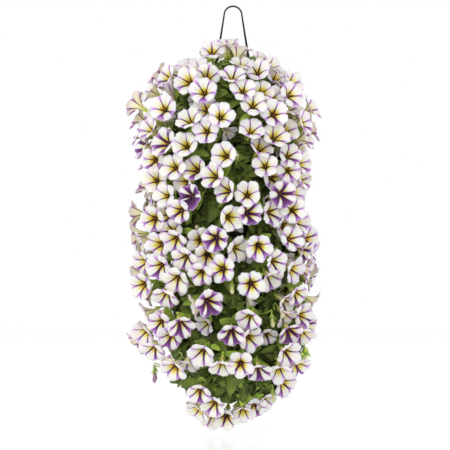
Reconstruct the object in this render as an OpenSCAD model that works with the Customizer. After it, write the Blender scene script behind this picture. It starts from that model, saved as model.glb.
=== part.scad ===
// Hanging flower pouch in full bloom: a tube of film filled with compost, planted through its
// slits with striped petunias and hung from a moulded handle that pivots in two eyelets.
// Millimetres, +Z up. The origin is the centre of the handle's hanging arch, and the handle
// lies in the XZ plane. A "drop" is a distance below the origin.

/* [Handle] */
// Inside radius of the hanging arch
arch_r = 14.8; // [12:0.2:20]
// Width of the strap from front to back
strap_w = 8; // [6:0.5:12]
// Thickness of the strap at the arch
strap_top_t = 2.8; // [2:0.1:4]
// Thickness of the strap at its feet
strap_foot_t = 5.5; // [4:0.1:7]
// Drop from the arch centre to the knees, where the legs start to spread
knee_drop = 82; // [60:1:95]
// Distance of the knees from the middle plane
knee_x = 29; // [24:1:36]
// Drop from the arch centre to the pegs
handle_drop = 158; // [150:1:170]
// Length of the upright foot above each peg
foot_l = 22; // [16:1:30]
// Diameter of the pivot pegs
peg_d = 6; // [5:0.2:8]
// Diameter of the snap heads inside the pouch
peg_head_d = 9; // [8:0.2:12]
// Swing of the pouch on its handle, to each side, in degrees
swing = 12; // [6:1:14]

/* [Pouch] */
// Outside diameter of the filled pouch
pouch_d = 112.8; // [100:0.2:126]
// Thickness of the film
film_t = 0.4; // [0.3:0.05:0.8]
// Length of the pouch from rim to base
pouch_l = 540; // [500:5:560]
// Height of the rim above the pegs
rim_above_pegs = 12; // [9:0.5:16]
// Radius of the rounded edge of the base
base_corner_r = 22; // [12:1:30]
// Width of a planting slit
slit_w = 18; // [16:0.5:22]
// Height of a planting slit
slit_h = 32; // [26:1:40]
// Diameter of the drain holes
drain_d = 6; // [4:0.5:9]
// Number of drain holes
drain_count = 6; // [4:1:8]
// Outside diameter of the eyelets
eyelet_d = 14; // [12:0.5:18]
// Thickness of an eyelet's flanges
flange_t = 1.2; // [0.8:0.1:2]
// Wall of an eyelet's sleeve
sleeve_t = 1.2; // [0.8:0.1:2]

/* [Planting] */
// Level of the compost below the rim
compost_below_rim = 25; // [22:1:34]
// Diameter of a root plug at the film
plug_d = 44; // [36:1:48]
// Diameter of a root plug at its inner end
plug_tip_d = 32; // [24:1:34]
// Length of a root plug
plug_l = 32; // [24:1:34]
// Diameter of the bundle of stems in a slit
neck_d = 14; // [10:0.5:15]
// Drop from the arch centre to the first tier of plants
tier_drop = 172; // [168:1:180]
// Height of one tier of plants
tier_h = 107; // [100:1:112]

/* [Stems and leaves] */
// Radius of the mass of stems around the pouch
mound_r = 90; // [84:1:96]
// Drop to the top of the stems
mound_top = 96; // [92:1:104]
// Height of the rounded ends of the mass of stems
mound_end_h = 94; // [80:1:110]
// Depth of trailing stems below the pouch
trail_l = 32; // [20:1:45]
// Length of a leaf
leaf_l = 40; // [30:1:46]
// Width of a leaf
leaf_w = 23; // [16:1:26]
// Thickness of a leaf
leaf_t = 1.4; // [1:0.1:2]
// Angle at which a leaf stands off the stems
leaf_lift = 35; // [20:1:45]
// Distance between the rows of leaves
leaf_row = 30; // [26:1:40]
// Distance between the leaves of a row
leaf_gap = 42; // [36:1:56]

/* [Blooms] */
// Diameter of a fully open bloom
bloom_d = 46; // [38:1:50]
// Length of a trumpet from calyx to rim
trumpet_l = 28; // [22:1:32]
// Diameter of a trumpet's tube
tube_d = 8; // [6:0.2:9]
// Thickness of the petals
petal_t = 1; // [0.8:0.1:1.5]
// Diameter of a flower stalk
stalk_d = 2.4; // [1.8:0.1:3]
// Length of a closed bud
bud_l = 26; // [18:1:32]
// Radius of the canopy of blooms
canopy_r = 165; // [155:1:175]
// Distance of the canopy's middle from the handle's, to the left
canopy_shift = 14; // [0:1:20]
// Drop to the top of the canopy
canopy_top = 40; // [30:1:44]
// Drop to the upper end of the canopy's full width
canopy_upper = 190; // [170:5:210]
// Drop to the lower end of the canopy's full width
canopy_lower = 600; // [580:5:620]
// Drop to the bottom of the canopy
canopy_bottom = 770; // [760:1:790]
// Depth from one layer of blooms to the next
layer_step = 16; // [13:0.5:18]
// Sway of the blooms' faces to either side, and up or down, in degrees
bloom_sway = 9; // [0:1:12]
// Sway of the blooms at the two sides, to the front or the back
side_sway = 18; // [0:1:20]
// One step of the planting plan
plan_step = 1.83; // [1.75:0.01:1.9]

/* [Clearances] */
// Radial running clearance of a peg in its eyelet
running_gap = 0.06; // [0.02:0.01:0.1]
// Gap between pieces that seat on each other
seat_gap = 0.3; // [0.2:0.05:0.5]
// Gap between neighbouring plants
plant_gap = 0.6; // [0.4:0.1:1]
// Gap around the handle's path through the stems
path_gap = 2.5; // [2:0.1:4]
// Gap between neighbouring blooms
bloom_gap = 0.8; // [0.5:0.1:1.5]

/* [Hidden] */
$fn = 48;
// A length beyond everything, and the overrun of a cut
far = 900;
cut = 1;

pouch_r = pouch_d / 2;
film_r = pouch_r - film_t;
rim_drop = handle_drop - rim_above_pegs;
base_drop = rim_drop + pouch_l;
compost_drop = rim_drop + compost_below_rim;
mound_bottom = base_drop + trail_l;
mound_in_r = pouch_r + seat_gap;
crown_floor = rim_drop - seat_gap;
tiers = 5;
// A slit lies a little above the middle of its tier
slit_share = 0.45;
slit_drop = [for (t = [0:tiers - 1]) tier_drop + (t + slit_share) * tier_h];

// Places of the blooms that show from the front: steps to the right of the middle, steps of
// drop, layer from the outside in, and where a bloom looks away from its neighbours its turn
// to the right and its lift in degrees.
front_blooms = [
    [-5, 26, -1, 0, 25], [6, 33, 0, 15, 40], [-20, 34, 0], [9, 47, 0, 10, 20], [24, 56, 0],
    [30, 43, 0, 40, 10], [42, 49, 0, 20, 0], [45, 62, 1], [53, 72, 1], [0, 61, 0],
    [-69, 62, 0, -10, 0], [-57, 58, 1], [-46, 51, 1], [-33, 52, 1], [-25, 61, 1], [-47, 67, 0],
    [10, 75, 0], [-30, 77, 0], [30, 77, 1], [41, 81, 1], [60, 80, 0], [-63, 74, 1],
    [-85, 73, 0, -20, 0], [20, 90, 0], [58, 92, 1], [68, 96, 1, 15, 0],
    [-69, 94, 0], [-100, 87, 0, -20, 0], [-99, 100, 1], [-27, 95, 1], [-11, 102, 0],
    [41, 100, 0], [-45, 104, 0], [-84, 102, 1, -20, 0], [-86, 113, 0], [73, 107, 0, 10, -5],
    [19, 114, 0], [-27, 118, 0], [43, 121, 0], [52, 115, 1], [76, 121, 0, 10, 0],
    [-94, 130, 0, -15, 0], [-70, 128, 0], [-48, 130, 0, -18, 0], [29, 132, 1, 15, 10],
    [71, 131, 1, 10, 0], [57, 140, 0], [-10, 141, 0, -15, 0], [-80, 145, 0],
    [71, 147, 0, 10, 0], [31, 150, 0, -6, -12], [-60, 152, 0], [-39, 154, 1, -22, 0],
    [55, 156, 0], [-22, 161, 0, -20, 8], [72, 162, 0], [42, 163, 1, 20, 0], [62, 166, 2],
    [-77, 165, 0], [-51, 167, 1, -20, 0], [-10, 176, 0, -24, 0], [65, 177, 0, 10, 0],
    [14, 179, 0, 0, 8], [50, 180, 0], [-69, 180, 0, -12, 0], [-86, 180, 1, -20, 0],
    [-44, 182, 0], [-84, 192, 1], [60, 195, 0], [-54, 197, 0], [18, 198, 0, 20, 0],
    [41, 198, 1, 20, -15], [-101, 199, 0, -15, 0], [-67, 200, 1], [-1, 203, 0, 12, 0],
    [-80, 205, 0], [70, 207, 0], [55, 212, 1], [-62, 215, 1], [-101, 220, 0, -15, 0],
    [60, 222, 0], [-18, 224, 0], [79, 224, 0], [-33, 225, 1], [-59, 227, 0, 0, -22],
    [-94, 229, 0, -10, 0], [-76, 230, 0], [26, 233, 0], [7, 235, 1, 30, 0],
    [74, 239, 0, 10, -10], [-25, 241, 1], [-49, 245, 0, 0, -14], [44, 247, 0], [-94, 248, 0],
    [-74, 253, 0], [-12, 253, 0, -18, 8], [63, 256, 0], [78, 257, 0], [-33, 260, 0, -8, -12],
    [39, 266, 1, 30, -15], [-57, 266, 0], [18, 269, 0], [-93, 271, 0], [66, 281, 0],
    [-68, 284, 0], [-91, 284, 1], [-22, 287, 0, 34, 8], [55, 288, 1, 20, 0],
    [-41, 291, 1, -60, 0], [73, 300, 0, 0, 20], [54, 303, 1, 0, -15], [14, 304, 0, -18, 0],
    [-73, 308, 0, 15, 0], [-50, 311, 0], [78, 313, 0], [-1, 319, 0], [57, 318, 0],
    [70, 322, 0], [-91, 320, 0], [-63, 322, 1], [19, 323, 1], [-81, 337, 0, 0, -10],
    [-32, 338, 0], [56, 338, 0], [7, 347, 0], [-12, 352, 0], [67, 353, 0],
    [-60, 354, 0, 0, -15], [-47, 352, 2, 0, -30], [25, 356, 0], [46, 358, 0], [52, 369, 1],
    [-34, 378, 0], [31, 385, 1], [-21, 390, 0], [23, 393, 0], [-37, 398, 0], [10, 399, 0],
    [-7, 405, 0], [-20, 405, 1],
    // Those of the two sides, seen on edge from the front, and of the underside
    [62, 66, 0], [83, 90, 0], [83, 112, 0], [74, 142, 1], [74, 162, 1], [74, 186, 1], [74, 210, 1],
    [83, 234, 0], [83, 266, 0], [83, 290, 0], [76, 318, 1], [64, 346, 2], [-77, 57, 0], [-98, 116, 0],
    [-90, 143, 1], [-90, 167, 1], [-98, 237, 0], [-98, 262, 0], [-90, 300, 1], [-98, 330, 0],
    [-6, 394, 4, 0, -45]];

// Places of the closed buds, in the same form
front_buds = [
    [80, 290, 0, 0, 10], [40, 385, -1, 0, -40], [-78, 367, 0, 0, -55], [-1, 277, 0, 0, -30],
    [39, 310, 0, 0, -40], [-36, 211, 1, 0, 20], [-62, 116, 1, 0, 20], [4, 140, 1, 0, 20]];

// Lift of a bloom's face by its drop: the top looks up and the bottom hangs down
lift_by_drop = [[30, 60], [60, 45], [110, 34], [180, 28], [250, 18], [330, 6], [400, -8],
                [480, -20], [560, -30], [640, -34], [700, -40], [760, -50]];

// Vector and distance helpers
function unit(v) = v / norm(v);
function flip(p) = [p.x, -p.y, p.z];
function seg_dist(p, a, b) =
    let (t = min(1, max(0, (p - a) * (b - a) / ((b - a) * (b - a))))) norm(p - a - t * (b - a));

// Half outline of the mass of stems, as [drop, radius]
end_steps = 6;
mound_profile = concat(
    [for (i = [end_steps:-1:0]) let (a = 90 * i / end_steps)
        [mound_top + mound_end_h * (1 - sin(a)), mound_r * pow(cos(a), 1.2)]],
    [for (i = [0:end_steps]) let (a = 90 * i / end_steps)
        [mound_bottom - mound_end_h * (1 - sin(a)), mound_r * pow(cos(a), 1.2)]]);
function mound_at(drop) =
    drop < mound_top || drop > mound_bottom ? 0 : lookup(drop, mound_profile);
function in_mound(p) = norm([p.x, p.y]) < mound_at(-p.z);

// Radius of the canopy of blooms at a drop: a dome, a straight middle and a tapered bottom
function canopy_at(drop) =
    drop < canopy_upper
        ? let (up = (canopy_upper - drop) / (canopy_upper - canopy_top))
            canopy_r * pow(max(0.02, 1 - up * up), 0.75)
    : drop > canopy_lower
        ? canopy_r * max(0.1, 1 - pow((drop - canopy_lower) / (canopy_bottom - canopy_lower), 2))
    : canopy_r;

// Steps from p along n until the point lies in the stems
function march(p, n, l, step) = l > far || in_mound(p + n * l) ? l : march(p, n, l + step, step);
// Steps from p along n until the point lies clear of the stems
function pushed(p, n, l) =
    let (q = p + n * l)
    norm([q.x, q.y]) > mound_at(-q.z) + stalk_free ? l : pushed(p, n, l + 1);
// Keeps a stalk's foot away from the border between two tiers
border = 6;
border_step = 20;
function nudge(drop) =
    let (e = (drop - tier_drop) % tier_h)
    drop < tier_drop / 2 ? 0 : e < border ? border_step : e > tier_h - border ? -border_step : 0;

// A scattered share from -1 to 1 that depends on a flower's place in the plan
function scatter(b, i, j) = sin(i * b[0] + j * b[1]);
// How far behind the middle plane a flower stands, at an angle phi on a canopy of radius r
function behind(b, r, phi) = abs(phi) < 90 ? -r * cos(phi) : side_sway * scatter(b, 40, 8);

// A flower's place as [face centre, direction, top of its stalk, foot of its stalk]. The flower
// is l long, its stalk runs from its calyx into the stems.
function placed(b, l) =
    let (drop = b[1] * plan_step,
         r = max(canopy_least_r, canopy_at(drop) - b[2] * layer_step),
         across = b[0] * plan_step + canopy_shift,
         phi = asin(min(1, max(-1, across / r))),
         turn = phi * (0.5 + 0.5 * pow(phi / 90, 2))
             + (is_undef(b[3]) ? bloom_sway * scatter(b, 47, 31) : b[3]),
         lift = lookup(drop, lift_by_drop)
             + (is_undef(b[4]) ? bloom_sway * scatter(b, 61, -29) : b[4]),
         n = [sin(turn) * cos(lift), -cos(turn) * cos(lift), sin(lift)],
         p = [b[0] * plan_step, behind(b, r, phi), -drop],
         below = n * (l + seat_gap + stalk_knob_r),
         face = p + n * pushed(p - below, n, 0),
         top = face - below,
         root_drop = min(max(-top.z, mound_top + mound_end_h), mound_bottom - mound_end_h),
         root = [top.x < 0 ? -stalk_part : stalk_part, top.y < 0 ? -stalk_part : stalk_part,
                 -root_drop - nudge(root_drop)],
         way = unit(root - top))
    [face, n, top, top + way * (march(top, way, 0, 1) + leaf_sink)];
canopy_least_r = 12;
stalk_knob_r = stalk_d * 0.65;
// Shortest free length of a stalk, and the distance of its line's end from the middle planes
stalk_free = 4;
stalk_part = 8;
// Depth of a leaf's or a stalk's foot in the stems
leaf_sink = 2;
// Half width of the band at each side whose flowers stand alone
side_band = 28;
front = [for (b = front_blooms) placed(b, trumpet_l)];
front_bud_places = [for (b = front_buds) placed(b, bud_l)];

// Distance from a point to a flower's tube and stalk
function stem_dist(p, a, l) =
    min(seg_dist(p, a[0] - a[1] * l / 2, a[0] - a[1] * l), seg_dist(p, a[2], a[3]));
// The largest face that leaves room for a neighbour's face and tube. One step of depth between
// two faces is worth more room than one step to the side.
depth_worth = 2.2;
function pair_room(a, b) =
    let (d = b[0] - a[0], n = unit(a[1] + b[1]), deep = d * n, wide = norm(d - deep * n))
    min(sqrt(wide * wide + pow(depth_worth * deep, 2)) / 2,
        stem_dist(a[0], b, trumpet_l) - tube_d / 2) - bloom_gap;
function mirrored(a) = [for (v = a) is_list(v) ? flip(v) : v];
function face_r(i) =
    min(concat([bloom_d / 2],
        [for (j = [0:len(front) - 1]) if (j != i) pair_room(front[i], front[j])],
        [for (a = front) let (near = max(a[0].y, front[i][0].y), deep = min(a[0].y, front[i][0].y))
            if (deep < -side_band && near > -2 * side_band) pair_room(front[i], mirrored(a))]));

// The flowers at the sides stand alone, the others have a twin at the back
function with_back(list) = concat(list, [for (a = list) if (-a[0].y > side_band) mirrored(a)]);
blooms = with_back([for (i = [0:len(front) - 1]) concat(front[i], [face_r(i), trumpet_l])]);
buds = with_back([for (a = front_bud_places) concat(a, [tube_d / 2, bud_l])]);

// The plants: one in the crown, then two in each tier, in turn front and back, left and right
plants = ["crown", "top_front", "top_back", "upper_left", "upper_right", "middle_front",
          "middle_back", "lower_left", "lower_right", "bottom_front", "bottom_back"];
function plant_of(p) =
    -p.z < tier_drop ? 0
    : let (t = min(tiers - 1, floor((-p.z - tier_drop) / tier_h)),
           second = t % 2 == 0 ? p.y > 0 : p.x > 0)
        1 + 2 * t + (second ? 1 : 0);
function tier_of(k) = floor((k - 1) / 2);
// Direction of a plant's slit, as an angle from the front
function slit_turn(k) = (tier_of(k) % 2 == 0 ? 0 : -90) + ((k - 1) % 2) * 180;

hardware = ["handle", "pouch", "left_eyelet", "right_eyelet", "compost", "buds"];

// A bar of the strap between two points of its outline, with round ends
module bar(a, b, ta, tb) {
    side = unit([b.y - a.y, a.x - b.x]) / 2;
    polygon([a + side * ta, a - side * ta, b - side * tb, b + side * tb]);
    translate(a) circle(d = ta);
    translate(b) circle(d = tb);
}

foot_x = pouch_r + 2 * seat_gap + flange_t + strap_foot_t / 2;
boss_d = peg_d + 1.4 * strap_foot_t;

module strap_side() {
    arch_mid = arch_r + strap_top_t / 2;
    knee_t = strap_top_t + (strap_foot_t - strap_top_t) * 0.65;
    bar([arch_mid, 0], [knee_x, -knee_drop], strap_top_t, knee_t);
    bar([knee_x, -knee_drop], [foot_x, foot_l - handle_drop], knee_t, strap_foot_t);
    bar([foot_x, foot_l - handle_drop], [foot_x, -handle_drop], strap_foot_t, strap_foot_t);
}

module peg_side() {
    head_l = 2.4;
    head_end = film_r - eyelet_sink - flange_t - 3 * seat_gap;
    translate([0, 0, -handle_drop]) rotate([0, 90, 0]) {
        translate([0, 0, foot_x - strap_foot_t / 2]) cylinder(d = boss_d, h = strap_foot_t);
        translate([0, 0, head_end - cut]) cylinder(d = peg_d, h = foot_x - head_end + cut);
        translate([0, 0, head_end - head_l]) cylinder(d1 = peg_d - 1, d2 = peg_head_d, h = head_l);
    }
}
// Depth by which the curve of the pouch falls back under a flange's edge
eyelet_sink = pouch_r - sqrt(pouch_r * pouch_r - eyelet_d * eyelet_d / 4);

module handle() {
    color([0.05, 0.05, 0.06]) {
        rotate([90, 0, 0]) linear_extrude(strap_w, center = true) {
            difference() {
                circle(r = arch_r + strap_top_t);
                circle(r = arch_r);
                translate([-far, -far]) square([2 * far, far]);
            }
            strap_side();
            mirror([1, 0]) strap_side();
        }
        peg_side();
        mirror([1, 0, 0]) peg_side();
    }
}

// An eyelet in the right wall: two flanges and the sleeve that the peg turns in
module eyelet() {
    bore_r = peg_d / 2 + running_gap;
    inner = film_r - eyelet_sink - seat_gap - flange_t;
    outer = pouch_r + seat_gap + flange_t;
    color([0.1, 0.11, 0.1]) translate([0, 0, -handle_drop]) rotate([0, 90, 0]) difference() {
        union() {
            translate([0, 0, inner]) cylinder(d = eyelet_d, h = flange_t);
            translate([0, 0, inner]) cylinder(r = bore_r + sleeve_t, h = outer - inner);
            translate([0, 0, outer - flange_t]) cylinder(d = eyelet_d, h = flange_t);
        }
        translate([0, 0, inner - cut]) cylinder(r = bore_r, h = outer - inner + 2 * cut);
    }
}
module right_eyelet() eyelet();
module left_eyelet() mirror([1, 0, 0]) eyelet();

// Outline of the pouch's inside or outside, from the axis at the base up to a drop
module pouch_outline(r, base, top, corner) {
    corner_steps = 5;
    polygon(concat([[0, -top], [0, -base]],
        [for (i = [0:corner_steps]) let (a = 90 * i / corner_steps)
            [r - corner * (1 - sin(a)), -base + corner * (1 - cos(a))]],
        [[r, -top]]));
}

// Runs its children outward from the axis through the middle of a plant's slit
module at_slit(k) {
    translate([0, 0, -slit_drop[tier_of(k)]]) rotate([90, 0, slit_turn(k)]) children();
}

module slit(h) {
    linear_extrude(h) {
        square([slit_w, slit_h - slit_w], center = true);
        for (s = [-1, 1]) translate([0, s * (slit_h - slit_w) / 2]) circle(d = slit_w);
    }
}

module pouch() {
    drain_circle_r = film_r - base_corner_r - drain_d;
    color([0.12, 0.25, 0.13]) difference() {
        rotate_extrude() pouch_outline(pouch_r, base_drop, rim_drop, base_corner_r);
        rotate_extrude()
            pouch_outline(film_r, base_drop - film_t, rim_drop - cut, base_corner_r - film_t);
        for (k = [1:2 * tiers]) at_slit(k) slit(far);
        for (i = [1:drain_count]) rotate([0, 0, i * 360 / drain_count])
            translate([drain_circle_r, 0, -base_drop - cut]) cylinder(d = drain_d, h = film_t + 2 * cut);
        translate([0, 0, -handle_drop]) rotate([0, 90, 0])
            cylinder(r = peg_d / 2 + running_gap + sleeve_t + seat_gap, h = far, center = true);
    }
}

// A root plug seen from its slit: its broad end is at the film
plug_face = film_r - plug_d * plug_d / (8 * film_r) - 2 * seat_gap;
module side_plug(k, gap) {
    at_slit(k) translate([0, 0, plug_face - plug_l - gap])
        cylinder(d1 = plug_tip_d + 2 * gap, d2 = plug_d + 2 * gap, h = plug_l + 2 * gap);
}
module crown_plug(gap) {
    translate([0, 0, -compost_drop - plug_l - gap])
        cylinder(d1 = plug_tip_d + 2 * gap, d2 = plug_d + 2 * gap, h = plug_l + 2 * gap);
}

module root_plug(k) {
    color([0.2, 0.14, 0.09]) if (k == 0) crown_plug(0); else side_plug(k, 0);
}

module compost() {
    color([0.13, 0.09, 0.06]) difference() {
        rotate_extrude()
            pouch_outline(film_r - seat_gap, base_drop - film_t - seat_gap, compost_drop,
                          base_corner_r - film_t - seat_gap);
        crown_plug(seat_gap);
        for (k = [1:2 * tiers]) {
            side_plug(k, seat_gap);
            at_slit(k) translate([0, 0, plug_face]) cylinder(d = plug_d + 2 * seat_gap, h = far);
        }
    }
}

// Ring of stems around the pouch between two drops
module mound_ring(top, bottom) {
    shown = [for (p = mound_profile) if (p[0] > top && p[0] < bottom) [p[1], -p[0]]];
    rotate_extrude() polygon(concat([[mound_in_r, -top], [mound_at(top), -top]], shown,
        bottom < base_drop
            ? [[mound_at(bottom), -bottom], [mound_in_r, -bottom]]
            : [[0, -base_drop - seat_gap], [mound_in_r, -base_drop - seat_gap]]));
}

module crown_mound() {
    shown = [for (p = mound_profile) if (p[0] < tier_drop - plant_gap) [p[1], -p[0]]];
    low = tier_drop - plant_gap;
    rotate_extrude() polygon(concat(shown, [[mound_at(low), -low], [mound_in_r, -low],
        [mound_in_r, -crown_floor], [0, -crown_floor]]));
    translate([0, 0, -compost_drop]) cylinder(d = neck_d, h = compost_drop - crown_floor + cut);
}

// The space that the legs of the handle sweep through the crown as the pouch swings
module handle_path() {
    reach_up = handle_drop - mound_top + leaf_l;
    low_w = strap_w / 2 + path_gap;
    swing_spare = 2;
    high_w = low_w + reach_up * tan(swing + swing_spare);
    inside = knee_x - strap_foot_t - path_gap;
    outside = foot_x + strap_foot_t / 2 + path_gap;
    for (s = [0, 1]) mirror([s, 0, 0]) translate([inside, 0, -handle_drop])
        rotate([90, 0, 90]) linear_extrude(outside - inside) union() {
            polygon([[-low_w, 0], [low_w, 0], [high_w, reach_up], [-high_w, reach_up]]);
            translate([-boss_d / 2 - path_gap, -far]) square([boss_d + 2 * path_gap, far + boss_d / 2]);
        }
}

// Places of the leaves: rows down the front of the stems, as [drop, angle from the front]
leaf_top = mound_top + 22;
leaf_rows = floor((mound_bottom - leaf_top) / leaf_row);
function row_count(drop) = max(1, floor(PI * mound_at(drop) / leaf_gap));
leaf_plan = [for (i = [0:leaf_rows - 1]) let (drop = leaf_top + i * leaf_row, n = row_count(drop))
    for (j = [0:n - 1]) [drop, -90 + 180 * (j + (i % 2 == 0 ? 0.5 : 0.25)) / n]];

// A leaf's [root, direction of its length, direction that its blade faces]
function leaf_frame(q) =
    let (out = [sin(q[1]), -cos(q[1]), 0],
         slope = (mound_at(q[0] + cut) - mound_at(q[0] - cut)) / (2 * cut),
         down = unit(slope * out - [0, 0, 1]), off = unit(out + slope * [0, 0, 1]),
         along = down * cos(leaf_lift) + off * sin(leaf_lift),
         facing = off * cos(leaf_lift) - down * sin(leaf_lift))
    [out * mound_at(q[0]) - [0, 0, q[0]] - along * leaf_sink, along, facing];

// True if a leaf at f, rooted in plant k, clears a flower's face and tube, and the stalks that
// grow on other plants
function clear_of(f, k, a) =
    len([for (s = [0.2, 0.45, 0.7, 1])
        let (p = f[0] + f[1] * leaf_l * s, half = leaf_w / 2 * (1 - pow(2 * s - 1, 2)) + leaf_t)
        if (seg_dist(p, a[0] - a[1] * a[5] / 2, a[0] - a[1] * a[5]) < half + tube_d / 2 + bloom_gap
            || norm(p - a[0]) < half + a[4] * 0.8
            || (plant_of(a[3]) != k && seg_dist(p, a[2], a[3]) < half + stalk_d + bloom_gap)) 1]) == 0;
function leaf_fits(f, k) =
    len([for (a = concat(blooms, buds)) if (norm(a[0] - f[0]) < 3 * leaf_l && !clear_of(f, k, a)) 1]) == 0;

// True if a leaf's root lies well inside the stems of plant k
function rooted_in(f, k) =
    let (side = cross(f[2], f[1]) * leaf_w / 2,
         near = [f[0], f[0] + side, f[0] - side, f[0] + f[1] * leaf_w / 2])
    len([for (p = near) if (plant_of(p) != k) 1]) == 0;

module leaf_blade() {
    edge_r = (leaf_l * leaf_l + leaf_w * leaf_w) / (4 * leaf_w);
    linear_extrude(leaf_t, center = true) intersection_for(s = [-1, 1])
        translate([leaf_l / 2, s * (edge_r - leaf_w / 2)]) circle(r = edge_r, $fn = 96);
}

module placed_along(p, z, x) {
    y = cross(z, x);
    multmatrix([[x.x, y.x, z.x, p.x], [x.y, y.y, z.y, p.y], [x.z, y.z, z.z, p.z], [0, 0, 0, 1]])
        children();
}

module leaves(k) {
    for (q = leaf_plan) for (s = [1, -1]) {
        g = leaf_frame(q);
        f = s == 1 ? g : [for (v = g) flip(v)];
        if (rooted_in(f, k) && leaf_fits(f, k)) placed_along(f[0], f[2], f[1]) leaf_blade();
    }
}

// A flower's stalk: a knob under its calyx and a tapered stem that runs into the mass of stems
module stalk(a) {
    l = norm(a[3] - a[2]);
    way = (a[3] - a[2]) / l;
    translate(a[2]) sphere(r = stalk_knob_r);
    placed_along(a[2], way, unit(cross([1, 0.3, 0.2], way)))
        cylinder(d1 = stalk_d * 0.9, d2 = stalk_d * 1.3, h = l);
}

module stalks(k) {
    for (a = concat(blooms, buds)) if (plant_of(a[3]) == k) stalk(a);
}

// The half of the space that holds one plant of a tier
module plant_half(k) {
    rotate([0, 0, slit_turn(k)]) translate([-far, -2 * far - plant_gap / 2, -far])
        cube([2 * far, 2 * far, 2 * far]);
}

module foliage(k) {
    t = tier_of(k);
    top = tier_drop + t * tier_h;
    bottom = t == tiers - 1 ? mound_bottom : top + tier_h - plant_gap;
    color([0.25, 0.42, 0.13]) {
        if (k == 0) difference() {
            union() {
                crown_mound();
                leaves(k);
                stalks(k);
            }
            handle_path();
        } else {
            intersection() {
                mound_ring(top, bottom);
                plant_half(k);
            }
            at_slit(k) translate([0, 0, plug_face])
                cylinder(d = neck_d, h = mound_in_r - plug_face + 2 * cut);
            leaves(k);
            stalks(k);
        }
    }
}

// A five-lobed trumpet: its face is at the origin and looks along +Z. Shares of the face's
// radius: the middle of a lobe, and the end of the trumpet's flare, where the flat limb starts.
lobe_mid = 0.48;
limb_r = 0.78;
module bloom(r) {
    l = trumpet_l;
    calyx_r = tube_d * 0.42;
    intersection() {
        rotate_extrude() polygon([
            [0, -l], [stalk_d / 2, -l], [calyx_r, -l * 0.9], [calyx_r * 0.9, -l * 0.78],
            [tube_d / 2, -l * 0.55], [r * limb_r, -petal_t], [r + cut, -petal_t], [r + cut, 0],
            [r * limb_r, 0], [tube_d / 2 - petal_t, -l * 0.52], [0, -l * 0.62]]);
        translate([0, 0, -l - cut]) linear_extrude(l + 2 * cut)
            for (i = [0:4]) rotate(72 * i) translate([lobe_mid * r, 0]) circle(r = (1 - lobe_mid) * r);
    }
}

// A closed bud, pointing along +Z with its tip at the origin
module bud() {
    r = tube_d / 2;
    rotate_extrude() polygon([
        [0, -bud_l], [stalk_d / 2, -bud_l], [r * 0.85, -bud_l * 0.9], [r * 0.6, -bud_l * 0.7],
        [r, -bud_l * 0.25], [r * 0.7, -bud_l * 0.08], [0, 0]]);
}

// Stands a flower with its face at a[0], looking along a[1]
module faced(a) {
    placed_along(a[0], a[1], unit(cross([0, 0, 1], a[1]))) children();
}

module bloom_group(k) {
    color([0.93, 0.9, 0.93]) for (a = blooms) if (plant_of(a[3]) == k)
        faced(a) rotate(a[0].x + 3 * a[0].z) bloom(a[4]);
}

module bud_group() {
    color([0.72, 0.75, 0.3]) for (a = buds) faced(a) bud();
}

handle();
pouch();
left_eyelet();
right_eyelet();
compost();
bud_group();  // buds
for (k = [0:len(plants) - 1]) {
    root_plug(k);
    foliage(k);
    bloom_group(k);
}
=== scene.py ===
"""Looks of a hanging flower pouch in full bloom: striped petunias, leaves, stems, film and handle.

The blooms and buds are read from the CAD solids, and each one becomes a modelled flower at the
same place. Lengths are millimetres until a mesh is made, and then metres in the CAD frame.
"""
import math
from types import SimpleNamespace as Item

import bmesh
import bpy
import numpy as np
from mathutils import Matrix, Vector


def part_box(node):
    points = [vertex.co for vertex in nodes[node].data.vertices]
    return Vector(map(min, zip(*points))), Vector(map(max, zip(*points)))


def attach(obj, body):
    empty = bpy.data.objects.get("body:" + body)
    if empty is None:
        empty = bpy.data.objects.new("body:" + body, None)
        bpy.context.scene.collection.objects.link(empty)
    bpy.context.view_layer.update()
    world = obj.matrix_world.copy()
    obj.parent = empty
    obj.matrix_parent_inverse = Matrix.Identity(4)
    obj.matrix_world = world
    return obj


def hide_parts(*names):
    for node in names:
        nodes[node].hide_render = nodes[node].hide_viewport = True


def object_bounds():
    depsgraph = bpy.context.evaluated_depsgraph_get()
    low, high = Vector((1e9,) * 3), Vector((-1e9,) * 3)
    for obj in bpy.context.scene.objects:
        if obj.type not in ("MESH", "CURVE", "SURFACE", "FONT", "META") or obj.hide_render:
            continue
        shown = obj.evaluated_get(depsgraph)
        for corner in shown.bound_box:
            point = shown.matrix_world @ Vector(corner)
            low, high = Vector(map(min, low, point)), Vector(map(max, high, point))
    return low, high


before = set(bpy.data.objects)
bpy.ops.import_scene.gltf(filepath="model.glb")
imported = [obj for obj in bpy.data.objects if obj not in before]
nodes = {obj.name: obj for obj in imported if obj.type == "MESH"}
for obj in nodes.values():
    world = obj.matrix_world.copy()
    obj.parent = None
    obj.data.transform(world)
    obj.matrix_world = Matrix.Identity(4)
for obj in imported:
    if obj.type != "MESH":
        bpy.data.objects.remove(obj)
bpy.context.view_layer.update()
rng = np.random.default_rng(20)

MM = 0.001
PLANTS = [n[len("blooms_"):] for n in nodes if n.startswith("blooms_")]

# Sizes of the flowers and leaves
FULL_R, SMALL_R = 26.2, 22.0  # radius of an open bloom, in the open and in a crowd
CAD_FULL_R, CAD_SMALL_R = 23.0, 10.0  # the same of the CAD trumpets
BLOOM_L = 36.0  # from calyx to face
FUNNEL_POWER = 2.1  # how sharply a trumpet flares towards its rim
THROAT_R = 2.0
PETAL_T = 0.5
STEM_R = 1.15
LEAF_L, LEAF_W, LEAF_T = 44.0, 25.0, 0.5
BUD_L = 26.0

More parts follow.
